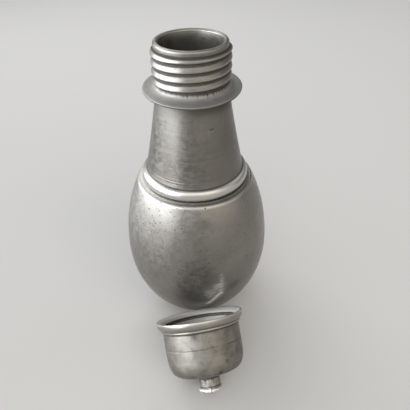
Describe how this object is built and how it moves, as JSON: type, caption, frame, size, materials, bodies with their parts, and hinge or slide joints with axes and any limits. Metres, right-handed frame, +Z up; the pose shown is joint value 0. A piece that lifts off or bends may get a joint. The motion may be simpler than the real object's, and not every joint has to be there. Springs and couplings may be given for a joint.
{
  "type": "feeding bottle",
  "caption": "Egg-bellied pewter feeding bottle with tapered neck, flanged screw-threaded mouth, and a loose screw cap with a short nipple lying beside it.",
  "frame": {"origin": "centre of the flat base, on the bottle's axis", "axes": "+Z up along the bottle's axis; -Y from the bottle towards the loose cap and the picture's camera"},
  "size_m": [0.0794, 0.12, 0.16],
  "materials": {
    "body_pewter": "aged satin pewter with pits",
    "polished_pewter": "rubbed bright pewter",
    "dull_pewter": "dull oxidised pewter",
    "thread_pewter": "bright crests over dark roots",
    "cap_pewter": "aged satin pewter with turning lines",
    "nipple_pewter": "worn pewter with a torn tip"
  },
  "bodies": {
    "bottle": {"lower_bowl": "body_pewter", "upper_bowl": "body_pewter", "shoulder_ring": "polished_pewter", "neck": "body_pewter", "flange": "dull_pewter", "threaded_mouth": "thread_pewter"},
    "cap": {"cap_cup": "cap_pewter", "cap_rim": "cap_pewter", "nipple": "nipple_pewter"}
  },
  "joints": [
    {"name": "cap_lift", "type": "slide", "parent": "bottle", "child": "cap", "axis": [0, -0.7071, 0.7071], "range_m": [0, 0.12]}
  ]
}
